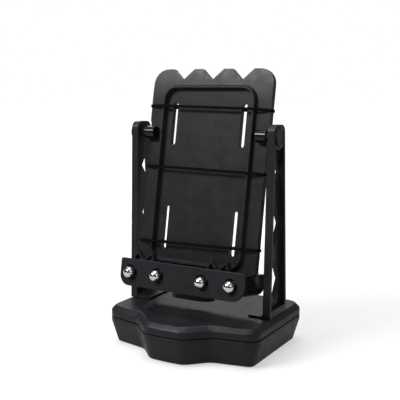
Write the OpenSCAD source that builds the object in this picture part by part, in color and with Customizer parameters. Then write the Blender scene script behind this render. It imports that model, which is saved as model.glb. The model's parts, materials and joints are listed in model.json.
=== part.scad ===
// Swing-type automatic watch winder.
// A battery base carries two openwork uprights; a cradle hangs between them on a horizontal
// axis and is kept swinging by a coil in the base and a magnet under the cradle's tray.
// Millimetres. Origin: on the table, under the centre of the base. +Y is the back, +X the right.

/* [Base] */
// Width of the base at the parting line
base_w = 116; // [112:1:122]
// Depth of the base from the front bulge to the back
base_d = 99; // [97:1:104]
// Height of the base without its feet
base_h = 26; // [26:0.5:30]
// Height of the parting line above the underside
seam_up = 17.7; // [17:0.1:19]
// How far the rubber feet stand out below the base
foot_h = 1; // [0.6:0.1:1.5]
// Bevel round the top edge of the base
bevel = 3.2; // [2:0.1:3.6]
// How far the lower shell draws in towards the underside
draft = 4.5; // [3:0.1:5]

/* [Uprights] */
// Height of the swing axis above the table
pivot_h = 146.7; // [143:0.1:152]
// Gap between the inner faces of the uprights
between = 100.6; // [100.2:0.1:102]
// Thickness of an upright
upright_t = 5.3; // [5:0.1:5.6]

/* [Cradle] */
// Resting tilt of the cradle, bottom forward
tilt = 10.3; // [6:0.1:12]
// Half width of the cradle's head
head_hw = 46.7; // [46:0.1:47.2]
// Top of the head above the swing axis
head_top = 45.7; // [42:0.1:48]
// Thickness of the cradle's panel
panel_t = 4.8; // [4.4:0.1:5.2]
// Diameter of the weight balls
ball_d = 8; // [7:0.5:8]

/* [Bands] */
// Height of an elastic band
band_h = 2; // [1.5:0.1:3]
// Thickness of an elastic band
band_t = 0.7; // [0.6:0.1:1]

/* [Hidden] */

fine = 64;
small = 32;
gap = 0.2;                       // clearance between parts that only locate each other
eps = 0.02;                      // overlap that keeps cuts clean

// --- base ---
base_z = foot_h;                 // underside of the lower shell
seam_z = base_z + seam_up;
base_top = base_z + base_h;
seam_gap = 0.5;                  // shadow line between cover and shell
wall = 2.2;
skirt = 2.9;                     // upright part of the shell below the seam
front_y = -base_d / 2;
back_y = base_d / 2;

// --- uprights ---
pivot_y = 6.5;
inner_x = between / 2;
outer_x = inner_x + upright_t;
post_front = [pivot_y - 7.2, pivot_y - 11];      // front edge at the axis, at the foot
post_rear = [pivot_y + 9.3, pivot_y + 15.5];     // rear edge at the axis, at the foot
post_up = 7.8;                   // top of an upright above the axis
post_round = 5;                  // radius of its upper corners
web_t = 1.8;
flange = 2.2;
foot_plate = [39.5, 1.2];                        // inner edge, thickness
peg_y = [1.5, 16.5];
peg_x = 45;
peg_r = 2.4;
peg_len = 5;

// --- swing axis ---
pin_r = 1.6;
bush_r = 3.4;                    // collar of the bush
bush_seat_r = 2.6;
bush_clear = 0.05;               // running clearance of the pin in its bush
cap_r = 6.4;
cap_t = 2.6;
hub_r = 4.4;                     // hubs on the panel that hold the pins
hub_x = [39.6, 47.2];
key_gap = 0.15;
hub_key = [41.5, 45.5, 2.4];     // tongue that seats a hub in the panel: its ends in x, half height
pin_x0 = 41;                     // blind end of a pin's bore in its hub

// --- cradle, in its own axes: origin on the swing axis, Y out of the panel's back ---
face_y = 2.35;                   // front face of the panel
back_face = face_y + panel_t;
body_hw = 46;
head_low = 8.5;                  // where the head steps in to the body
head_round = 10.5;
crown_z = 21;                    // above this the head's front curves back
crown_r = 170;
panel_low = -91;
notch_pitch = 23.2;
notch_hw = 8.2;
notch_deep = 8;
rim_hw = 36.8;                   // foot of the raised rim round the watch floor
rim_top = 34.2;
rim_steps = [1.3, 2.3, 3.6];     // inwards from the foot: crest outside, crest inside, floor edge
rim_up = 3.2;                    // height of the crest above the front face
floor_deep = 0.6;                // watch floor below the front face
slot_x = 27;
slot_r = 2;
slots = [[-8, 22], [-81.2, -50.4]];              // bottom and top of each strap slot
pocket_x = [[-43, -31.5], [-22.5, 22.5], [31.5, 43]];
pocket_z = [[-82, -49], [-46, -11], [-8, 30]];   // shallow pockets in the panel's back
pocket_deep = 2;
panel_screw_x = 30;
tray_top = -91;
tray_low = -106.2;
tray_hw = 45.4;
tray_back = 19.5;
tray_wall = 1.8;
lip_y = -17.5;                   // front plane of the lip
lip_t = 3.3;
lip_hw = 47.2;
lip_top = -89.3;
lip_low = -108;
ball_x = [-38.6, -17.4, 17.4, 38.6];
ball_z = -98.6;
cup_r = 5.2;
cup_deep = 2.2;
keel_r = 113;                  // radius of the magnet cover about the swing axis
keel_hw = 15;
keel_y = [-5, 15];
keel_round = 9;                  // rounding of the cover seen from above
magnet_y = 6;
magnet_r = 7;
magnet_t = 4;
weight_box = [24.5, 4];          // half length and thickness of the balance weight
band_z = [18.3, -24.3, -75.8];
band_slant = [1, 0.7, -1.2];     // each band's turn about the cradle's Y, left end up

// --- battery bay ---
bay_x = 28;
bay_y = [11, 42];
bay_z = 18;
door_t = 1.8;
door_lap = 0.9;                  // how far the door covers the edge of the bay

// --- inside the base ---
coil_y = -8;
screw_xy = [[-33, -19], [33, -19], [-49.5, 30], [49.5, 30]];
foot_xy = [[-44, -16], [44, -16], [-42, 38], [42, 38], [0, -37]];
board_box = [[-50, -14], [-22, 8]];
board_z = 9;
board_t = 1.6;
board_screw_x = [board_box[0].x + 3, board_box[1].x - 3];
board_screw_y = -3;
switch_x = 37;
switch_z = 9;

// ---------- outline helpers ----------

// Unit vector along v
function unit(v) = v / norm(v);

// Points of the arc that rounds corner b of the run a, b, c; b is [x, y, radius]
function corner_arc(a, b, c, n) =
    let (p = [b.x, b.y],
         u = unit([a.x, a.y] - p),
         w = unit([c.x, c.y] - p),
         half = acos(u * w) / 2,
         turn = sign(u.x * w.y - u.y * w.x) * -1,
         centre = p + unit(u + w) * b.z / sin(half),
         first = p + u * b.z / tan(half) - centre,
         start = atan2(first.y, first.x),
         sweep = turn * (180 - 2 * half))
    b.z == 0 ? [p] : [for (i = [0:n]) let (t = start + sweep * i / n) centre + b.z * [cos(t), sin(t)]];

// Closed outline through corners [x, y, radius], listed counter-clockwise
function rounded(corners, n = 8) =
    let (k = len(corners))
    [for (i = [0:k - 1]) each corner_arc(corners[(i + k - 1) % k], corners[i], corners[(i + 1) % k], n)];

// The same corners moved inwards by d
function inset(corners, d) =
    let (k = len(corners))
    [for (i = [0:k - 1])
        let (a = corners[(i + k - 1) % k], b = corners[i], c = corners[(i + 1) % k],
             p = [b.x, b.y],
             u = unit([a.x, a.y] - p),
             w = unit([c.x, c.y] - p),
             turn = sign(u.x * w.y - u.y * w.x) * -1,
             q = p + turn * unit(u + w) * d / sin(acos(u * w) / 2))
        [q.x, q.y, max(b.z - turn * d, 0.4)]];

// Corners of a rounded rectangle
function box_corners(x0, y0, x1, y1, r) = [[x0, y0, r], [x1, y0, r], [x1, y1, r], [x0, y1, r]];

// Right half of the base outline, front to back: bulge, notch, shoulder, back corner
base_right = [
    [15, front_y + 0.8, 14],
    [28.4, front_y + 14.3, 8],
    [base_w / 2, front_y + 20.3, 9],
    [base_w / 2, back_y, 11]
];
base_corners = concat(
    [[0, front_y, 60]],
    base_right,
    [for (i = [3:-1:0]) [-base_right[i].x, base_right[i].y, base_right[i].z]]
);

module slab(corners, z0, z1) {
    translate([0, 0, z0]) linear_extrude(z1 - z0) polygon(rounded(corners));
}

// Faces that close an outline of n points in strips across its axis of symmetry;
// points k and m - k are each other's mirror image
function strips(n, m) =
    let (first = ceil(m / 2), count = floor(n / 2) - m % 2)
    [for (k = [first:first + count - 1])
        let (far = (m - k - 1 + n) % n, near = (m - k + n) % n)
        near == k ? [k, k + 1, far] : [k, k + 1, far, near]];

// Solid between two outlines with the same points, one at z0 and one above it at z1
module loft(low, z0, high, z1, m) {
    n = len(low);
    caps = strips(n, m);
    polyhedron(
        points = concat([for (p = low) [p.x, p.y, z0]], [for (p = high) [p.x, p.y, z1]]),
        faces = concat(
            caps,
            [for (f = caps) [for (i = [len(f) - 1:-1:0]) n + f[i]]],
            [for (i = [0:n - 1]) let (j = (i + 1) % n) [i, n + i, n + j]],
            [for (i = [0:n - 1]) let (j = (i + 1) % n) [i, n + j, j]]
        )
    );
}

// Slab whose outline is inset by d0 at z0 and by d1 above it at z1
module taper(corners, z0, d0, z1, d1) {
    loft(rounded(inset(corners, d0)), z0, rounded(inset(corners, d1)), z1, 8);
}

module block(a, b) {
    translate(a) cube(b - a);
}

module drill(x, y, z0, z1, r) {
    translate([x, y, z0]) cylinder(h = z1 - z0, r = r, $fn = fine);
}

// Moves the cradle's own axes to where it hangs
module hang() {
    translate([0, pivot_y, pivot_h]) rotate([-tilt, 0, 0]) children();
}

// Extrudes an x-z outline of the cradle along its y, from y0 to y1
module plate_xz(y0, y1) {
    translate([0, y1, 0]) rotate([90, 0, 0]) linear_extrude(y1 - y0) children();
}

// Cylinder along X
module rod(x0, x1, r, y = 0, z = 0) {
    translate([x0, y, z]) rotate([0, 90, 0]) cylinder(h = x1 - x0, r = r, $fn = fine);
}

// ---------- base ----------

cover_inside = base_top - 2.4;
peg_low = base_top - peg_len + gap;              // lower end of the uprights' pegs
peg_boss_r = 4.4;
boss_r = 3.4;
shell_boss = base_z + 6;

module base_cover() color([0.14, 0.14, 0.15]) {
    difference() {
        union() {
            difference() {
                union() {
                    slab(base_corners, seam_z + seam_gap, base_top - bevel);
                    taper(base_corners, base_top - bevel, 0, base_top, bevel);
                }
                slab(inset(base_corners, wall + 0.2), seam_z, cover_inside);
            }
            for (p = screw_xy) drill(p.x, p.y, shell_boss + gap, cover_inside + eps, boss_r);
            for (s = [-1, 1], y = peg_y) drill(s * peg_x, y, peg_low - 0.15, cover_inside + eps, peg_boss_r);
            // ring that centres the coil bobbin
            translate([0, coil_y, cover_inside - 2]) difference() {
                cylinder(h = 2 + eps, r = 15, $fn = fine);
                translate([0, 0, -eps]) cylinder(h = 2 + eps, r = spool_flange + 0.3, $fn = fine);
            }
        }
        for (p = screw_xy) drill(p.x, p.y, shell_boss, cover_inside - 2, 1.3);
        for (s = [-1, 1], y = peg_y)
            drill(s * peg_x, y, peg_low - 1, base_top + 1, peg_r + gap);
    }
}

rim_in = 3.8;

// --- battery door, hinged on two stubs at its front edge ---
door_gap = 0.35;
door_hw = bay_x + door_lap - door_gap;
hinge_r = 0.6;
hinge_y = bay_y[0] - door_lap + door_gap + door_t / 2;
hinge_z = base_z + door_t / 2;

module base_shell() color([0.13, 0.13, 0.14]) {
    difference() {
        union() {
            difference() {
                union() {
                    slab(base_corners, seam_z - skirt, seam_z);
                    taper(base_corners, base_z, draft, seam_z - skirt, 0);
                    slab(inset(base_corners, wall + 0.2 + gap), seam_z - eps, seam_z + 1.6);
                }
                taper(base_corners, base_z + 2, draft + wall, seam_z - skirt - 1, wall);
                slab(inset(base_corners, rim_in), seam_z - skirt - 1.5, seam_z + 3);
            }
            for (p = screw_xy) drill(p.x, p.y, base_z + 1, shell_boss, boss_r);
            for (x = board_screw_x) drill(x, board_screw_y, base_z + 1, board_z - gap, 2.4);
            // walls and roof of the battery bay
            block([-bay_x - 1.5, bay_y[0] - 1.5, base_z + 1], [bay_x + 1.5, bay_y[1] + 1.5, bay_z + 1.2]);
            // seat that holds the coil bobbin up against the cover
            drill(0, coil_y, base_z + 1, base_z + 8, 6);
            // pocket for the switch
            block([switch_x - 7, back_y - 13.5, base_z + 1], [switch_x + 7, back_y - 5.6, switch_z - 3]);
        }
        for (p = screw_xy) {
            drill(p.x, p.y, base_z - 1, shell_boss + 1, 1.6);
            drill(p.x, p.y, base_z - 1, base_z + 2.2, 3);
        }
        for (p = foot_xy) drill(p.x, p.y, base_z - 1, base_z + 1, 5.1);
        for (x = board_screw_x) drill(x, board_screw_y, board_z - 5, board_z, 0.9);
        block([-bay_x, bay_y[0], base_z - 1], [bay_x, bay_y[1], bay_z - 0.3]);
        // rebate for the door
        block([-bay_x - door_lap, bay_y[0] - door_lap, base_z - 1],
            [bay_x + door_lap, bay_y[1] + door_lap, base_z + door_t + gap]);
        rod(-door_hw - 1.4, door_hw + 1.4, hinge_r + bush_clear, hinge_y, hinge_z);
        // window for the switch lever
        block([switch_x - 4.2, back_y - 9, switch_z - 1.6], [switch_x + 4.2, back_y + 1, switch_z + 1.6]);
    }
}

module battery_door() color([0.13, 0.13, 0.14]) {
    y1 = bay_y[1] + door_lap - door_gap;
    difference() {
        union() {
            slab(box_corners(-door_hw, hinge_y, door_hw, y1, 0.6), base_z, base_z + door_t);
            rod(-door_hw, door_hw, door_t / 2, hinge_y, hinge_z);
            rod(-door_hw - 1.1, door_hw + 1.1, hinge_r, hinge_y, hinge_z);
        }
        // finger grip
        for (i = [-2:2]) translate([0, y1 - 5 + i * 1.4, base_z]) rotate([0, 90, 0])
            cylinder(h = 14, r = 0.4, center = true, $fn = small);
    }
}

module rubber_feet() color([0.05, 0.05, 0.05])
    for (p = foot_xy) drill(p.x, p.y, 0, base_z + 0.95, 5);

// Pan-head screw with its head down at z and its tip up
module screw_up(x, y, z, length, r = 1.25, head_r = 2.7, head_h = 1.6) {
    translate([x, y, z]) difference() {
        union() {
            cylinder(h = head_h, r = head_r, $fn = fine);
            translate([0, 0, head_h - eps]) cylinder(h = length, r = r, $fn = fine);
        }
        for (a = [0, 90]) rotate([0, 0, a])
            translate([-1.4, -0.3, -eps]) cube([2.8, 0.6, 0.8]);
    }
}

module case_screws() color([0.7, 0.7, 0.72])
    for (p = screw_xy) screw_up(p.x, p.y, base_z + 0.5, 15);

module circuit_board() color([0.1, 0.35, 0.2]) difference() {
    slab(box_corners(board_box[0].x, board_box[0].y, board_box[1].x, board_box[1].y, 1),
        board_z, board_z + board_t);
    for (x = board_screw_x) drill(x, board_screw_y, board_z - 1, board_z + 3, 1.2);
}

// Chip, capacitor, transistor and coil terminals
module board_parts() color([0.06, 0.06, 0.07]) {
    z = board_z + board_t + eps;
    block([-41, -8, z], [-33, -3, z + 1.6]);
    drill(-40, 3, z, z + 6, 2.5);
    block([-33, 1, z], [-29, 3.5, z + 4]);
    block([-27, 2, z], [-24, 6.5, z + 3]);
}

module board_screws() color([0.7, 0.7, 0.72])
    for (x = board_screw_x)
        translate([x, board_screw_y, board_z + board_t + 0.1]) mirror([0, 0, 1])
            translate([0, 0, -1.2]) difference() {
                union() {
                    cylinder(h = 1.2, r = 2, $fn = fine);
                    translate([0, 0, 1.2 - eps]) cylinder(h = 4.8, r = 0.85, $fn = fine);
                }
                for (a = [0, 90]) rotate([0, 0, a])
                    translate([-1.1, -0.25, -eps]) cube([2.2, 0.5, 0.6]);
            }

// ---------- drive coil ----------

coil_z = [base_z + 8 + gap, cover_inside - gap];
spool_r = 4.4;
spool_flange = 13;

module coil_bobbin() color([0.85, 0.85, 0.8]) translate([0, coil_y, 0]) rotate_extrude($fn = fine)
    polygon([
        [2.1, coil_z[0]], [spool_flange, coil_z[0]], [spool_flange, coil_z[0] + 1.2], [spool_r, coil_z[0] + 1.2],
        [spool_r, coil_z[1] - 1.2], [spool_flange, coil_z[1] - 1.2], [spool_flange, coil_z[1]], [2.1, coil_z[1]]
    ]);

module coil_winding() color([0.72, 0.38, 0.2]) translate([0, coil_y, coil_z[0] + 1.3]) difference() {
    cylinder(h = coil_z[1] - coil_z[0] - 2.6, r = 12, $fn = fine);
    translate([0, 0, -1]) cylinder(h = 40, r = spool_r + 0.1, $fn = fine);
}

module coil_core() color([0.6, 0.6, 0.62]) drill(0, coil_y, coil_z[0] + 0.1, coil_z[1] - 0.1, 2);

// ---------- battery contacts: sprung strips and plates at the two ends of the bay ----------

cell_y = [bay_y[0] + 7.75, bay_y[1] - 7.75];

module battery_contacts() color([0.8, 0.8, 0.78]) {
    for (s = [-1, 1], k = [0, 1]) {
        sprung = (s > 0) == (k == 0);
        translate([s * (bay_x - 0.2), cell_y[k], 11]) {
            translate([s < 0 ? 0 : -0.4, -5, -5]) cube([0.4, 10, 10]);
            if (sprung) rotate([0, -s * 90, 0]) difference() {
                cylinder(h = 3, r1 = 4, r2 = 2, $fn = fine);
                translate([0, 0, -eps]) cylinder(h = 2.6, r1 = 3.6, r2 = 1.7, $fn = fine);
            }
            else rotate([0, -s * 90, 0]) cylinder(h = 0.9, r = 2.5, $fn = fine);
        }
    }
}

// ---------- power switch at the back ----------

module switch_body() color([0.1, 0.1, 0.1]) difference() {
    block([switch_x - 6.4, back_y - 13, switch_z - 2.9], [switch_x + 6.4, back_y - 7.6, switch_z + 3.4]);
    block([switch_x - 3.8, back_y - 11, switch_z - 1.2], [switch_x + 3.8, back_y - 7, switch_z + 1.2]);
}

module switch_slider() color([0.8, 0.1, 0.08]) difference() {
    block([switch_x - 3.4, back_y - 10.6, switch_z - 0.9], [switch_x + 0.6, back_y - 1.2, switch_z + 0.9]);
    for (i = [-1:1]) translate([switch_x - 1.4 + i * 1.1, back_y - 1.2, switch_z - 2])
        cylinder(h = 4, r = 0.25, $fn = small);
}

// ---------- uprights ----------

lattice_drop = [23.5, 58.1, 96.1];               // centres of the openings below the swing axis
lattice_at = 0.54;               // where they sit across the upright, from its front edge
lattice_hw = [4.4, 4.9, 5];      // their half widths at the inner face
lattice_hh = [6.2, 8.8, 9];      // their half heights there
splay = [1.45, 1.7];             // how much larger they are at the channel's floor

// Edge of the upright at height z, going straight from the axis to the foot
function post_edge(edge, z) = edge[0] + (edge[1] - edge[0]) * (pivot_h - z) / (pivot_h - base_top);

module post_outline(inward, z0) {
    top = pivot_h + post_up - inward;
    r = post_round - inward;
    polygon(rounded([
        [post_edge(post_front, z0) + inward, z0, 0], [post_edge(post_rear, z0) - inward, z0, 0],
        [post_rear[0] - inward, pivot_h, 0], [post_rear[0] - inward, top, r],
        [post_front[0] + inward, top, r], [post_front[0] + inward, pivot_h, 0]
    ]));
}

// Extrudes a y-z outline along X from x0 to x1
module plate_yz(x0, x1) {
    translate([x0, 0, 0]) rotate([90, 0, 90]) linear_extrude(x1 - x0) children();
}

// Right-hand upright; the left one is its mirror image
module upright() {
    difference() {
        union() {
            plate_yz(inner_x, outer_x) post_outline(0, base_top + gap);
            // foot plate and its fillet
            block([foot_plate[0], post_front[1], base_top + gap],
                [inner_x + eps, post_rear[1], base_top + gap + foot_plate[1]]);
            translate([inner_x - 2, post_front[1], base_top + gap + foot_plate[1] - eps]) difference() {
                cube([2 + eps, post_rear[1] - post_front[1], 2]);
                translate([0, -1, 2]) rotate([-90, 0, 0]) cylinder(h = 40, r = 2, $fn = small);
            }
            for (y = peg_y) drill(peg_x, y, peg_low, base_top + 1, peg_r);
        }
        // channel in the outer face
        plate_yz(inner_x + web_t, outer_x + 1) difference() {
            post_outline(flange, base_top + 5);
            translate([pivot_y, pivot_h]) circle(r = cap_r + 2, $fn = fine);
        }
        // splayed lattice openings
        for (i = [0:2])
            let (z = pivot_h - lattice_drop[i], w = lattice_hw[i], h = lattice_hh[i],
                 front = post_edge(post_front, z), rear = post_edge(post_rear, z),
                 y = front + (rear - front) * lattice_at)
                translate([inner_x - eps, y, z]) rotate([90, 0, 90])
                    linear_extrude(web_t + 2 * eps, scale = splay, slices = 1)
                        polygon([[-w, 0], [0, -h], [w, 0], [0, h]]);
        // seat of the bush and of the cap
        rod(inner_x - 1, outer_x + 1, bush_seat_r + 0.1, pivot_y, pivot_h);
        rod(outer_x - 1.2, outer_x + 1, cap_r + 0.1, pivot_y, pivot_h);
        // pilot holes in the pegs
        for (y = peg_y) drill(peg_x, y, peg_low - 1, base_top + 0.6, 1.05);
    }
}

module right_upright() color([0.15, 0.15, 0.16]) upright();
module left_upright() color([0.15, 0.15, 0.16]) mirror([1, 0, 0]) upright();

// Washer-head screws that pull the pegs into the cover from inside the base
module upright_screws() color([0.7, 0.7, 0.72])
    for (s = [-1, 1], y = peg_y)
        screw_up(s * peg_x, y, peg_low - 0.2 - 1.5, 4.6, 1, 3.6, 1.5);

module bush() difference() {
    union() {
        rod(inner_x - 1.9, inner_x - 0.1, bush_r, pivot_y, pivot_h);
        rod(inner_x - 0.2, outer_x - 1.3, bush_seat_r, pivot_y, pivot_h);
    }
    rod(inner_x - 3, outer_x + 1, pin_r + bush_clear, pivot_y, pivot_h);
}

module right_bush() color([0.12, 0.12, 0.12]) bush();
module left_bush() color([0.12, 0.12, 0.12]) mirror([1, 0, 0]) bush();

// Domed cap that closes the bush on the outside
module cap() {
    translate([outer_x - 1.1, pivot_y, pivot_h]) rotate([0, 90, 0]) rotate_extrude($fn = fine)
        polygon([
            [0, 0], [cap_r, 0], [cap_r, cap_t - 0.6], [cap_r - 0.6, cap_t],
            [cap_r - 1.4, cap_t], [cap_r - 2, cap_t - 0.6], [0, cap_t - 0.6]
        ]);
}

module right_cap() color([0.1, 0.1, 0.11]) cap();
module left_cap() color([0.1, 0.1, 0.11]) mirror([1, 0, 0]) cap();

// ---------- cradle ----------

panel_right = concat(
    [[body_hw, panel_low, 1], [body_hw, head_low - 1, 0.6],
     [head_hw, head_low, 0.6], [head_hw, head_top, head_round]],
    [[notch_pitch + notch_hw, head_top, 0.8], [notch_pitch, head_top - notch_deep, 0.6],
     [notch_pitch - notch_hw, head_top, 0.8], [notch_hw, head_top, 0.8]]
);
panel_corners = concat(
    panel_right,
    [[0, head_top - notch_deep, 0.6]],
    [for (i = [7:-1:0]) [-panel_right[i].x, panel_right[i].y, panel_right[i].z]]
);
rim_corners = box_corners(-rim_hw, panel_low, rim_hw, rim_top, 11);

// Part of the panel between two x-z outlines, at depths y0 and y1 behind the swing axis
module panel_loft(front, y0, rear, y1) {
    rotate([90, 0, 0]) loft(rear, -y1, front, -y0, 17);
}

// What is cut off the head so that its front face leans back in a curve towards the top
module crown_cut() {
    span = 2 * head_hw + 2;
    difference() {
        block([-span / 2, face_y - 1, crown_z], [span / 2, back_face + 1, head_top + 1]);
        translate([0, face_y + crown_r, crown_z]) rotate([0, 90, 0])
            cylinder(h = span + 2, r = crown_r, center = true, $fn = 720);
    }
}

module cradle_panel() color([0.17, 0.17, 0.18]) hang() {
    difference() {
        union() {
            difference() {
                plate_xz(face_y, back_face) polygon(rounded(panel_corners, 12));
                crown_cut();
            }
            panel_loft(rounded(inset(rim_corners, rim_steps[0])), face_y - rim_up,
                rounded(rim_corners), face_y + eps);
            plate_xz(face_y, face_y + 1.2) polygon(rounded(rim_corners));
        }
        // watch floor inside the rim
        panel_loft(rounded(inset(rim_corners, rim_steps[1])), face_y - rim_up - eps,
            rounded(inset(rim_corners, rim_steps[2])), face_y + floor_deep);
        // strap slots
        for (s = [-1, 1], slot = slots)
            translate([s * slot_x, 0, 0]) plate_xz(face_y - 5, back_face + 1)
                polygon(rounded(box_corners(-slot_r, slot[0], slot_r, slot[1], slot_r - 0.01), 12));
        // shallow pockets in the back
        for (px = pocket_x, pz = pocket_z)
            plate_xz(back_face - pocket_deep, back_face + 1)
                polygon(rounded(box_corners(px[0], pz[0], px[1], pz[1], 2)));
        // seats of the hubs
        for (s = [0, 1]) mirror([s, 0, 0])
            block([hub_key[0] - key_gap, face_y - 1, -hub_key[2] - key_gap],
                [hub_key[1] + key_gap, face_y + 2.4 + key_gap, hub_key[2] + key_gap]);
        // pilot holes for the screws that come up from the tray
        for (s = [-1, 1]) translate([s * panel_screw_x, (face_y + back_face) / 2, panel_low - 1])
            cylinder(h = 7.5, r = 1.05, $fn = fine);
    }
}

tray_corners = [
    [-tray_hw, tray_low, 6.5], [tray_hw, tray_low, 6.5],
    [tray_hw, tray_top - 0.1, 1], [-tray_hw, tray_top - 0.1, 1]
];
lip_corners = [
    [-lip_hw, lip_low, 7.5], [lip_hw, lip_low, 7.5], [lip_hw, lip_top, 0.8], [-lip_hw, lip_top, 0.8]
];
lip_back = lip_y + lip_t;
lip_pin_x = [-28, 28];

module cradle_tray() color([0.08, 0.08, 0.09]) hang() difference() {
    union() {
        difference() {
            plate_xz(lip_back + 0.1, tray_back) polygon(rounded(tray_corners));
            plate_xz(lip_back - 1, tray_back - tray_wall) polygon(rounded(inset(tray_corners, tray_wall)));
        }
        // posts for the lip's pins
        for (x = lip_pin_x) translate([x, lip_back + 0.1, ball_z]) rotate([-90, 0, 0])
            cylinder(h = tray_back - lip_back - 1, r = 2.6, $fn = fine);
    }
    for (x = lip_pin_x) translate([x, lip_back - 1, ball_z]) rotate([-90, 0, 0])
        cylinder(h = 12, r = 1.05, $fn = fine);
    for (s = [-1, 1]) translate([s * panel_screw_x, (face_y + back_face) / 2, tray_top - tray_wall - 1])
        cylinder(h = 4, r = 1.4, $fn = fine);
    // window that lets the magnet sit low
    translate([0, magnet_y, tray_low - 1]) cylinder(h = 4, r = magnet_r + 0.3, $fn = fine);
}

module front_lip() color([0.18, 0.18, 0.19]) hang() difference() {
    plate_xz(lip_y, lip_back) polygon(rounded(lip_corners));
    for (x = ball_x) translate([x, lip_y - 1, ball_z]) rotate([-90, 0, 0])
        cylinder(h = cup_deep + 1, r = cup_r, $fn = fine);
    // blind seats for the magnets that hold the balls
    for (x = ball_x) translate([x, lip_back - 0.6, ball_z]) rotate([-90, 0, 0])
        cylinder(h = 2, r = 3.1, $fn = fine);
    for (x = lip_pin_x) translate([x, lip_y + 1.6, ball_z]) rotate([-90, 0, 0])
        cylinder(h = 4, r = 1.05, $fn = fine);
}

// Dowel pins pressed into the lip and the tray's posts
module lip_pins() color([0.7, 0.7, 0.72]) hang()
    for (x = lip_pin_x) translate([x, lip_y + 1.8, ball_z]) rotate([-90, 0, 0])
        cylinder(h = 10, r = 1, $fn = fine);

module panel_screws() color([0.7, 0.7, 0.72]) hang()
    for (s = [-1, 1]) translate([s * panel_screw_x, (face_y + back_face) / 2, 0])
        screw_up(0, 0, tray_top - tray_wall - 1.5, 7.6, 1, 2.2, 1.3);

// Glossy half-round hub on the panel's face, bored for the pivot pin
module hub() hang() difference() {
    union() {
        difference() {
            rod(hub_x[0], hub_x[1], hub_r);
            block([hub_x[0] - 1, face_y - 0.1, -hub_r - 1], [hub_x[1] + 1, hub_r + 1, hub_r + 1]);
        }
        block([hub_key[0], 1.8, -hub_key[2]], [hub_key[1], face_y + 2.4, hub_key[2]]);
    }
    rod(pin_x0, hub_x[1] + 1, pin_r + 0.02);
}

module right_hub() color([0.08, 0.08, 0.09]) hub();
module left_hub() color([0.08, 0.08, 0.09]) mirror([1, 0, 0]) hub();

module pivot_pin() hang() rod(pin_x0 + 0.1, outer_x - 1.6, pin_r);
module right_pivot_pin() color([0.75, 0.75, 0.77]) pivot_pin();
module left_pivot_pin() color([0.75, 0.75, 0.77]) mirror([1, 0, 0]) pivot_pin();

// Bent strip with two teeth that stands on the tray behind the lip
tooth_y = [lip_back + 0.3, lip_back + 5.3];
tooth_t = 1.1;
tooth_h = 6.4;
tooth_line = [[0, 0], [3.2, tooth_h], [8.4, 0.6], [14.8, tooth_h], [16.6, 0]];

module tooth_rest(x0) {
    half = tooth_t / 2;
    hang() translate([x0, 0, tray_top + 0.15]) plate_xz(tooth_y[0], tooth_y[1]) difference() {
        for (i = [0:3])
            let (a = tooth_line[i], b = tooth_line[i + 1], n = unit([a.y - b.y, b.x - a.x]) * half,
                 e = unit(b - a) * half) {
                polygon([a - n - e, b - n + e, b + n + e, a + n - e]);
            }
        translate([-2, -2]) square([22, 2]);
    }
}

module left_tooth_rest() color([0.2, 0.2, 0.21]) tooth_rest(-39.9);
module right_tooth_rest() color([0.2, 0.2, 0.21]) tooth_rest(17.9);

module weight_balls() color([0.85, 0.85, 0.87]) hang()
    for (x = ball_x) translate([x, lip_y + cup_deep - ball_d / 2 - 0.02, ball_z])
        sphere(d = ball_d, $fn = fine);

module ball_magnets() color([0.6, 0.6, 0.63]) hang()
    for (x = ball_x) translate([x, lip_back - 0.55, ball_z]) rotate([-90, 0, 0])
        cylinder(h = 3, r = 3, $fn = fine);

// Steel bar along the back of the tray
module balance_weight() color([0.5, 0.5, 0.52]) hang()
    plate_xz(tray_back - tray_wall - gap - weight_box.y, tray_back - tray_wall - gap)
        polygon(rounded(box_corners(-weight_box.x, tray_low + 2.2, weight_box.x, tray_top - 2.4, 1), 4));

module drive_magnet() color([0.7, 0.7, 0.73]) hang()
    translate([0, magnet_y, tray_low - 0.6]) cylinder(h = magnet_t, r = magnet_r, $fn = fine);

// Curved keel under the tray, struck about the swing axis
module magnet_cover() color([0.12, 0.12, 0.13]) hang() difference() {
    intersection() {
        rotate([0, 90, 0]) cylinder(h = 2 * keel_hw + 2, r = keel_r, center = true, $fn = 720);
        translate([0, 0, -keel_r - 1]) linear_extrude(keel_r + 1 + tray_low - 0.1)
            polygon(rounded(box_corners(-keel_hw, keel_y[0], keel_hw, keel_y[1], keel_round), 16));
    }
    translate([0, magnet_y, tray_low - 1.6]) cylinder(h = 3, r = magnet_r + 0.3, $fn = fine);
}

// ---------- elastic bands: endless loops stretched round the panel ----------

module band(i) {
    z = band_z[i];
    hw = (z > head_low ? head_hw : body_hw) + 0.15;
    crest = face_y - rim_up - 0.1;
    crest_hw = rim_hw - rim_steps[0] + 0.4;
    inner = [
        [-crest_hw, crest, 1], [crest_hw, crest, 1], [hw, face_y - 0.2, 0.3],
        [hw, back_face + 0.15, 0.4], [-hw, back_face + 0.15, 0.4], [-hw, face_y - 0.2, 0.3]
    ];
    hang() translate([0, 0, z]) rotate([0, band_slant[i], 0])
        linear_extrude(band_h, center = true) difference() {
        polygon(rounded(inset(inner, -band_t), 6));
        polygon(rounded(inner, 6));
    }
}

module top_band() color([0.02, 0.02, 0.02]) band(0);
module middle_band() color([0.02, 0.02, 0.02]) band(1);
module bottom_band() color([0.02, 0.02, 0.02]) band(2);

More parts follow.
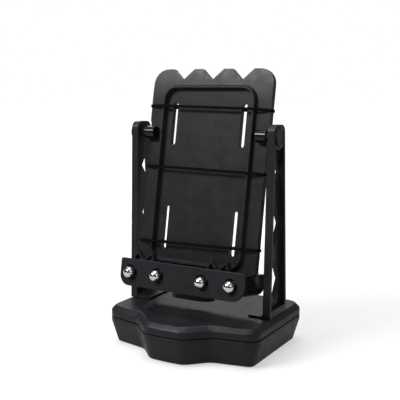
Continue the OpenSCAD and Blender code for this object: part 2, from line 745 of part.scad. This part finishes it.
base_cover();
base_shell();
battery_door();
rubber_feet();
case_screws();
circuit_board();
board_parts();
board_screws();
coil_bobbin();
coil_winding();
coil_core();
battery_contacts();
switch_body();
switch_slider();
left_upright();
right_upright();
upright_screws();
left_bush();
right_bush();
left_cap();
right_cap();
cradle_panel();
cradle_tray();
front_lip();
lip_pins();
panel_screws();
left_hub();
right_hub();
left_pivot_pin();
right_pivot_pin();
left_tooth_rest();
right_tooth_rest();
weight_balls();
ball_magnets();
balance_weight();
drive_magnet();
magnet_cover();
top_band();
middle_band();
bottom_band();
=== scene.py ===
"""Looks of the swing-type watch winder: materials, fine edges, elastic bands, floor, light and camera."""

import json
import math

import bpy
from mathutils import Euler, Matrix, Vector


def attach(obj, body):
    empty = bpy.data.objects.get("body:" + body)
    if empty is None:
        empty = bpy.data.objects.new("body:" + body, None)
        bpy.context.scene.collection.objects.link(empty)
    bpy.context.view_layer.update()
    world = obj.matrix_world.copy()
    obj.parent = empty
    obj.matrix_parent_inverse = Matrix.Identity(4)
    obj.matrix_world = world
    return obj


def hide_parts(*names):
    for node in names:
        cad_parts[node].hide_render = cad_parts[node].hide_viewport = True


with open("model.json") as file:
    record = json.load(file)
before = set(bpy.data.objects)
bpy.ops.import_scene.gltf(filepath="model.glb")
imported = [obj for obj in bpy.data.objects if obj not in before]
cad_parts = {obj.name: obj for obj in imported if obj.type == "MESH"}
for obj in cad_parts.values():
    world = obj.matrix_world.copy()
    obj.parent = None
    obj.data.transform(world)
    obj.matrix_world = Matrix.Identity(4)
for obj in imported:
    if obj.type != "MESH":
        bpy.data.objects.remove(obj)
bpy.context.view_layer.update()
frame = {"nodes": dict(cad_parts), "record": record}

MM = 0.001
NODES = frame["nodes"]


# ---------------------------------------------------------------- materials

class Shader:
    """A principled material with helpers for its procedural detail, all in object coordinates."""

    def __init__(self, name, colour, roughness, metallic=0.0, **sockets):
        self.material = bpy.data.materials.new(name)
        self.material.use_nodes = True
        self.tree = self.material.node_tree
        self.shader = self.tree.nodes["Principled BSDF"]
        self.colour = colour
        self.set("Base Color", (*colour, 1))
        self.set("Roughness", roughness)
        self.set("Metallic", metallic)
        for socket, value in sockets.items():
            self.set(socket.replace("_", " "), value)
        self.place = self.node("ShaderNodeTexCoord").outputs["Object"]
        self.height = None

    def set(self, socket, value):
        self.shader.inputs[socket].default_value = value

    def node(self, kind, **settings):
        made = self.tree.nodes.new(kind)
        for key, value in settings.items():
            if key in made.inputs:
                made.inputs[key].default_value = value
            else:
                setattr(made, key, value)
        return made

    def link(self, a, b):
        self.tree.links.new(a, b)

    def stretched(self, stretch):
        mapping = self.node("ShaderNodeMapping")
        mapping.inputs["Scale"].default_value = stretch
        self.link(self.place, mapping.inputs["Vector"])
        return mapping.outputs["Vector"]

    def noise(self, per_mm, detail=3.0, roughness=0.55, stretch=(1, 1, 1)):
        """Noise with features about 1 / per_mm across."""
        made = self.node("ShaderNodeTexNoise", Scale=per_mm / MM, Detail=detail, Roughness=roughness)
        self.link(self.stretched(stretch), made.inputs["Vector"])
        return made.outputs["Fac"]

    def ranged(self, value, low, high, start=0.3, end=0.7):
        made = self.node("ShaderNodeMapRange")
        for key, number in (("From Min", start), ("From Max", end), ("To Min", low), ("To Max", high)):
            made.inputs[key].default_value = number
        self.link(value, made.inputs["Value"])
        return made.outputs["Result"]

    def vary_colour(self, value, dark, light):
        """Base colour runs between two multiples of the plain colour."""
        ramp = self.node("ShaderNodeValToRGB")
        ramp.color_ramp.elements[0].position = 0.3
        ramp.color_ramp.elements[1].position = 0.7
        ramp.color_ramp.elements[0].color = (*[c * dark for c in self.colour], 1)
        ramp.color_ramp.elements[1].color = (*[c * light for c in self.colour], 1)
        self.link(value, ramp.inputs["Fac"])
        self.link(ramp.outputs["Color"], self.shader.inputs["Base Color"])
        return self

    def vary_roughness(self, value, low, high):
        self.link(self.ranged(value, low, high), self.shader.inputs["Roughness"])
        return self

    def bump(self, value, depth, strength=1.0):
        """Adds a bump of the given depth in millimetres on top of those already there."""
        made = self.node("ShaderNodeBump", Strength=strength, Distance=depth * MM)
        self.link(value, made.inputs["Height"])
        if self.height:
            self.link(self.height, made.inputs["Normal"])
        self.height = made.outputs["Normal"]
        self.link(self.height, self.shader.inputs["Normal"])
        return self


def moulded_plastic(name, colour, roughness, grain=0.012):
    """Spark-eroded black plastic: a fine even grain, faint flow marks, slightly uneven sheen."""
    shader = Shader(name, colour, roughness, Specular_IOR_Level=0.17)
    shader.vary_colour(shader.noise(0.06, 4), 0.86, 1.16)
    shader.vary_roughness(shader.noise(0.12, 5), roughness - 0.05, roughness + 0.07)
    shader.bump(shader.noise(0.05, 2), 0.05, 0.35)
    shader.bump(shader.noise(3.2, 2, 0.7), grain, 0.9)
    return shader.material


def gloss_plastic(name, colour):
    """Polished black plastic with a little sink and fine dust."""
    shader = Shader(name, colour, 0.16, Specular_IOR_Level=0.22)
    shader.vary_roughness(shader.noise(0.4, 6, 0.7), 0.12, 0.24)
    shader.bump(shader.noise(0.03, 2), 0.12, 0.3)
    return shader.material


def chrome(name, colour):
    shader = Shader(name, colour, 0.05, 1.0)
    shader.vary_colour(shader.noise(0.3, 3), 0.9, 1.05)
    shader.vary_roughness(shader.noise(0.5, 4), 0.03, 0.08)
    return shader.material


def turned_metal(name, colour, roughness=0.3):
    """Plated or turned steel with fine scratches."""
    shader = Shader(name, colour, roughness, 1.0)
    shader.vary_colour(shader.noise(0.3, 4), 0.85, 1.1)
    shader.vary_roughness(shader.noise(1.5, 4, 0.6, (1, 1, 8)), roughness - 0.08, roughness + 0.1)
    shader.bump(shader.noise(4, 2, 0.6, (1, 1, 10)), 0.004, 0.8)
    return shader.material


def rubber(name, colour):
    shader = Shader(name, colour, 0.8, Specular_IOR_Level=0.3)
    shader.vary_colour(shader.noise(0.5, 4), 0.8, 1.3)
    shader.bump(shader.noise(2.5, 3, 0.7), 0.03, 0.8)
    return shader.material


def braided_elastic(name, colour):
    """Black braid over rubber: two crossing sets of ribs and a soft fuzz."""
    shader = Shader(name, colour, 0.95, Specular_IOR_Level=0.0)
    for slant in (1, -1):
        made = shader.node("ShaderNodeTexWave", Scale=0.6 / MM, Distortion=0.6)
        shader.link(shader.stretched((1, slant, slant * 1.2)), made.inputs["Vector"])
        made.bands_direction = "DIAGONAL"
        shader.bump(made.outputs["Fac"], 0.05, 0.7)
    shader.bump(shader.noise(6, 3, 0.7), 0.02, 0.6)
    shader.vary_colour(shader.noise(1.2, 3), 0.7, 1.4)
    return shader.material


def enamelled_wire(name, colour):
    """Fine copper turns, one above the other round a vertical axis."""
    shader = Shader(name, colour, 0.3, 1.0, Coat_Weight=0.5, Coat_Roughness=0.1)
    made = shader.node("ShaderNodeTexWave", Scale=0.9 / MM, Distortion=0.4)
    made.bands_direction = "Z"
    shader.link(shader.place, made.inputs["Vector"])
    shader.bump(made.outputs["Fac"], 0.12, 1.0)
    shader.vary_colour(shader.noise(0.4, 3), 0.8, 1.15)
    return shader.material


def circuit_laminate(name, colour):
    """Green board: weave under a glossy mask."""
    shader = Shader(name, colour, 0.25, Coat_Weight=0.4)
    shader.vary_colour(shader.noise(0.7, 5, 0.6), 0.8, 1.25)
    made = shader.node("ShaderNodeTexChecker", Scale=1.2 / MM)
    shader.link(shader.place, made.inputs["Vector"])
    shader.bump(made.outputs["Fac"], 0.01, 0.6)
    return shader.material


def slot_materials():
    """One material for each material slot of the record."""
    colours = {m["slot"]: m["base_color"] for m in frame["record"]["materials"]}
    makers = {
        "matt_black_plastic": lambda n, c: moulded_plastic(n, c, 0.4),
        "gloss_black_plastic": gloss_plastic,
        "black_acetal": lambda n, c: moulded_plastic(n, c, 0.32, 0.004),
        "rubber": rubber,
        "elastic": braided_elastic,
        "chrome": chrome,
        "steel": turned_metal,
        "nickel": lambda n, c: turned_metal(n, c, 0.22),
        "magnet": lambda n, c: turned_metal(n, c, 0.18),
        "copper": enamelled_wire,
        "natural_plastic": lambda n, c: moulded_plastic(n, c, 0.4, 0.006),
        "board": circuit_laminate,
        "component_black": lambda n, c: moulded_plastic(n, c, 0.35, 0.006),
        "red_plastic": lambda n, c: moulded_plastic(n, c, 0.35, 0.004),
    }
    return {slot: makers[slot](slot, colour) for slot, colour in colours.items()}


MATERIALS = slot_materials()


def paint_nodes():
    for part in frame["record"]["subparts"]:
        node = NODES[part["node"]]
        node.data.materials.clear()
        node.data.materials.append(MATERIALS[part["material_slot"]])


# ---------------------------------------------------------------- edges

WELD_GAP = 0.002 * MM
FLAT_ANGLE = math.radians(0.3)
EDGE_ANGLE = math.radians(32)

# Nodes whose flat faces have openings in them, or that are finely curved: they keep all their faces
PIERCED = {"cradle_panel", "magnet_cover", "left_upright", "right_upright"}

# Width of the rounding in millimetres; a node that is not listed keeps its edges and gets a crease there
EDGE_WIDTHS = {
    "base_cover": 0.7,
    "base_shell": 0.25,
    "left_upright": 0.25,
    "right_upright": 0.25,
    "left_hub": 0.3,
    "right_hub": 0.3,
    "cradle_tray": 0.3,
    "front_lip": 0.3,
    "left_tooth_rest": 0.12,
    "right_tooth_rest": 0.12,
    "magnet_cover": 0.3,
    "left_bush": 0.2,
    "right_bush": 0.2,
    "left_cap": 0.15,
    "right_cap": 0.15,
    "rubber_feet": 0.2,
}


def merge_flat_faces(node):
    weld = node.modifiers.new("weld", "WELD")
    weld.merge_threshold = WELD_GAP
    if node.name in PIERCED:
        return
    flat = node.modifiers.new("flat", "DECIMATE")
    flat.decimate_type = "DISSOLVE"
    flat.angle_limit = FLAT_ANGLE


def round_edges(node, width):
    bevel = node.modifiers.new("edge", "BEVEL")
    bevel.width = width * MM
    bevel.segments = 2
    bevel.limit_method = "ANGLE"
    bevel.angle_limit = EDGE_ANGLE
    bevel.use_clamp_overlap = False
    bevel.miter_outer = "MITER_ARC"


def soften(node):
    """Rounds or creases a CAD node's sharp edges, and shades the rest of it smoothly."""
    merge_flat_faces(node)
    if node.name in EDGE_WIDTHS:
        round_edges(node, EDGE_WIDTHS[node.name])
    else:
        crease = node.modifiers.new("crease", "EDGE_SPLIT")
        crease.split_angle = EDGE_ANGLE
    normals = node.modifiers.new("normals", "WEIGHTED_NORMAL")
    normals.weight = 100
    normals.thresh = 0.0001
    normals.keep_sharp = False
    for face in node.data.polygons:
        face.use_smooth = True


# ---------------------------------------------------------------- elastic bands

# The cradle's swing axis and its tilt at rest, as the CAD has them
PIVOT = Vector((0, 6.5, 146.7)) * MM
TILT = math.radians(-10.3)

# The loops' inner outline in the cradle's own axes, in millimetres
CREST_HALF = 35.9      # half the width of the rim's crest
CREST_Y = -0.95
FRONT_Y = 2.15
BACK_Y = 7.3
CREST_ROUND = 1.0
FRONT_ROUND = 0.3
BACK_ROUND = 0.4

BAND_THICK = 0.7
BAND_HIGH = 2.0
BAND_STEP = 0.4        # between stations along a loop
BAND_AROUND = 16       # points round a band's section
BAND_SQUARE = 0.5      # 1 would make the section an ellipse, 0 a rectangle
BRAID_PITCH = 2.4
BRAID_RELIEF = 0.05

# Band, height above the axis, turn in degrees, half width of the panel there
BANDS = (
    ("top", 18.3, 1.0, 46.85),
    ("middle", -24.3, 0.7, 46.15),
    ("bottom", -75.8, -1.2, 46.15),
)


def corner_arc(before, corner, after, radius, steps=6):
    """Stations round one corner of a band's loop: points on its middle line, with outward normals."""
    back = (before - corner).normalized()
    ahead = (after - corner).normalized()
    half = back.angle(ahead) / 2
    centre = corner + (back + ahead).normalized() * radius / math.sin(half)
    start = Vector((-back.y, back.x))
    turn = math.pi - 2 * half
    stations = []
    for i in range(steps + 1):
        cos = math.cos(turn * i / steps)
        sin = math.sin(turn * i / steps)
        normal = Vector((start.x * cos - start.y * sin, start.x * sin + start.y * cos))
        stations.append((centre + normal * (radius + BAND_THICK / 2), normal))
    return stations


def straight_run(start, end, normal):
    """Stations between two points, without the points themselves."""
    parts = int((end - start).length / BAND_STEP)
    return [(start.lerp(end, k / parts), normal) for k in range(1, parts)]


def band_stations(half_width):
    """The whole loop seen from above, in millimetres, anticlockwise from the front left."""
    corners = [
        (-CREST_HALF, CREST_Y, CREST_ROUND),
        (CREST_HALF, CREST_Y, CREST_ROUND),
        (half_width, FRONT_Y, FRONT_ROUND),
        (half_width, BACK_Y, BACK_ROUND),
        (-half_width, BACK_Y, BACK_ROUND),
        (-half_width, FRONT_Y, FRONT_ROUND),
    ]
    bends = []
    for i, (x, y, radius) in enumerate(corners):
        before = Vector(corners[i - 1][:2])
        after = Vector(corners[(i + 1) % len(corners)][:2])
        bends += corner_arc(before, Vector((x, y)), after, radius)
    loop = []
    for station, following in zip(bends, bends[1:] + bends[:1]):
        loop.append(station)
        loop += straight_run(station[0], following[0], following[1])
    return loop


def squared(value):
    return math.copysign(abs(value) ** BAND_SQUARE, value)


def band_section(travelled, pitch):
    """A flat braid's outline: offsets across its thickness and up its height, swelling at each crossing."""
    half_thick = BAND_THICK / 2
    half_high = BAND_HIGH / 2
    phase = 2 * math.pi * travelled / pitch
    outline = []
    for i in range(BAND_AROUND):
        angle = 2 * math.pi * i / BAND_AROUND
        crossing = math.sin(phase + 2 * angle) * math.sin(phase - 2 * angle)
        dip = BRAID_RELIEF * (0.5 + 0.5 * crossing)
        across = squared(math.cos(angle)) * (half_thick - dip)
        up = squared(math.sin(angle)) * (half_high - dip)
        outline.append((across, up))
    return outline


def tube_faces(rings, around):
    """The quads of a closed tube whose points come ring by ring."""
    faces = []
    for i in range(rings):
        this = i * around
        following = (i + 1) % rings * around
        for k in range(around):
            beside = (k + 1) % around
            faces.append((this + k, following + k, following + beside, this + beside))
    return faces


def elastic_band(name, height, slant, half_width):
    """An endless braided elastic stretched round the panel and over its rim."""
    loop = band_stations(half_width)
    reach = [0.0]
    for station, following in zip(loop, loop[1:] + loop[:1]):
        reach.append(reach[-1] + (following[0] - station[0]).length)
    pitch = reach[-1] / round(reach[-1] / BRAID_PITCH)
    level = Matrix.Translation((0, 0, height * MM)) @ Matrix.Rotation(math.radians(slant), 4, "Y")
    place = Matrix.Translation(PIVOT) @ Matrix.Rotation(TILT, 4, "X") @ level
    points = []
    for (point, normal), travelled in zip(loop, reach):
        for across, up in band_section(travelled, pitch):
            spot = point + normal * across
            points.append(place @ Vector((spot.x * MM, spot.y * MM, up * MM)))
    mesh = bpy.data.meshes.new(name)
    mesh.from_pydata(points, [], tube_faces(len(loop), BAND_AROUND))
    mesh.materials.append(MATERIALS["elastic"])
    for face in mesh.polygons:
        face.use_smooth = True
    band = bpy.data.objects.new(name, mesh)
    bpy.context.scene.collection.objects.link(band)
    return band


def stretch_the_bands():
    for which, height, slant, half_width in BANDS:
        band = elastic_band(f"{which}_elastic", height, slant, half_width)
        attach(band, "cradle")
        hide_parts(f"{which}_band")


# ---------------------------------------------------------------- floor, light, camera

FLOOR_HALF = 6
FLOOR_GREY = (0.3, 0.3, 0.3)
FLOOR_NEAR = (0.1, 0.55)     # distance from the middle, and the floor's glow there
FLOOR_FAR = (0.9, 1.0)
FLOOR_SPILL = 0.45           # how much of the glow falls on the object


def floor_paper():
    shader = Shader("floor_paper", FLOOR_GREY, 0.7, Specular_IOR_Level=0.1)
    shader.set("Emission Color", (1, 1, 1, 1))
    away = shader.node("ShaderNodeVectorMath", operation="LENGTH")
    shader.link(shader.place, away.inputs[0])
    glow = shader.ranged(away.outputs["Value"], FLOOR_NEAR[1], FLOOR_FAR[1], FLOOR_NEAR[0], FLOOR_FAR[0])
    ray = shader.node("ShaderNodeLightPath")
    shown = shader.ranged(ray.outputs["Is Camera Ray"], FLOOR_SPILL, 1, 0, 1)
    strength = shader.node("ShaderNodeMath", operation="MULTIPLY")
    shader.link(glow, strength.inputs[0])
    shader.link(shown, strength.inputs[1])
    shader.link(strength.outputs["Value"], shader.shader.inputs["Emission Strength"])
    shader.vary_roughness(shader.noise(0.01, 2), 0.65, 0.75)
    return shader.material


def stage():
    """A pale floor that glows a little, so that it stays white right out to the horizon."""
    mesh = bpy.data.meshes.new("floor")
    signs = ((-1, -1), (1, -1), (1, 1), (-1, 1))
    corners = [(x * FLOOR_HALF, y * FLOOR_HALF, 0) for x, y in signs]
    mesh.from_pydata(corners, [], [(0, 1, 2, 3)])
    mesh.materials.append(floor_paper())
    floor = bpy.data.objects.new("floor", mesh)
    bpy.context.scene.collection.objects.link(floor)


# Soft boxes: name, place, size in metres, power in watts; all are aimed at the middle of the object
LAMPS = (
    ("key", (-0.43, -0.71, 0.8), (0.5, 0.3), 14),
    ("fill", (0.85, -0.35, 0.55), (0.3, 0.3), 1.0),
    ("back", (-0.5, 0.72, 0.62), (0.8, 0.2), 3),
    ("top", (-0.05, -0.05, 1.1), (0.5, 0.5), 8),
)
LAMP_TARGET = Vector((0, 0, 0.12))


def soft_box(name, place, size, power):
    light = bpy.data.lights.new(name, "AREA")
    light.shape = "RECTANGLE"
    light.size = size[0]
    light.size_y = size[1]
    light.energy = power
    lamp = bpy.data.objects.new(name, light)
    lamp.location = place
    lamp.rotation_euler = (LAMP_TARGET - Vector(place)).to_track_quat("-Z", "Y").to_euler()
    bpy.context.scene.collection.objects.link(lamp)


# How the room brightens: axis, from and to along it, strength at the two ends
SKY = (("Z", 0.15, 0.95, 0.05, 0.42), ("Y", 0.2, 0.9, 0.0, 0.12))


def sky_glow(tree):
    """Strength of the room's light by direction: paler overhead and behind."""
    place = tree.nodes.new("ShaderNodeTexCoord")
    split = tree.nodes.new("ShaderNodeSeparateXYZ")
    tree.links.new(place.outputs["Generated"], split.inputs["Vector"])
    glow = tree.nodes.new("ShaderNodeMath")
    for term, (axis, start, end, low, high) in enumerate(SKY):
        rise = tree.nodes.new("ShaderNodeMapRange")
        rise.interpolation_type = "SMOOTHSTEP"
        for key, number in (("From Min", start), ("From Max", end), ("To Min", low), ("To Max", high)):
            rise.inputs[key].default_value = number
        tree.links.new(split.outputs[axis], rise.inputs["Value"])
        tree.links.new(rise.outputs["Result"], glow.inputs[term])
    return glow.outputs["Value"]


def studio_world():
    """A white backdrop for the camera, and the room's own glow for light and reflections."""
    world = bpy.data.worlds.new("studio")
    bpy.context.scene.world = world
    world.use_nodes = True
    tree = world.node_tree
    room = tree.nodes["Background"]
    backdrop = tree.nodes.new("ShaderNodeBackground")
    for side in (room, backdrop):
        side.inputs["Color"].default_value = (1, 1, 1, 1)
    path = tree.nodes.new("ShaderNodeLightPath")
    pick = tree.nodes.new("ShaderNodeMixShader")
    tree.links.new(sky_glow(tree), room.inputs["Strength"])
    tree.links.new(path.outputs["Is Camera Ray"], pick.inputs[0])
    tree.links.new(room.outputs["Background"], pick.inputs[1])
    tree.links.new(backdrop.outputs["Background"], pick.inputs[2])
    tree.links.new(pick.outputs["Shader"], tree.nodes["World Output"].inputs["Surface"])


def light_the_scene():
    studio_world()
    for lamp in LAMPS:
        soft_box(*lamp)
    bpy.context.scene.view_settings.view_transform = "Standard"


CAMERA_PLACE = Vector((254.3, -437.1, 179.4)) * MM
CAMERA_TURN = Euler((math.radians(81.31), 0, math.radians(30.19)))
CAMERA_LENS = 67.3
CAMERA_SENSOR = 36


def place_camera():
    camera = bpy.data.cameras.new("camera")
    camera.lens = CAMERA_LENS
    camera.sensor_width = CAMERA_SENSOR
    holder = bpy.data.objects.new("camera", camera)
    holder.location = CAMERA_PLACE
    holder.rotation_euler = CAMERA_TURN
    bpy.context.scene.collection.objects.link(holder)
    bpy.context.scene.camera = holder


place_camera()
paint_nodes()
for name in sorted(NODES):
    soften(NODES[name])
stretch_the_bands()
stage()
light_the_scene()
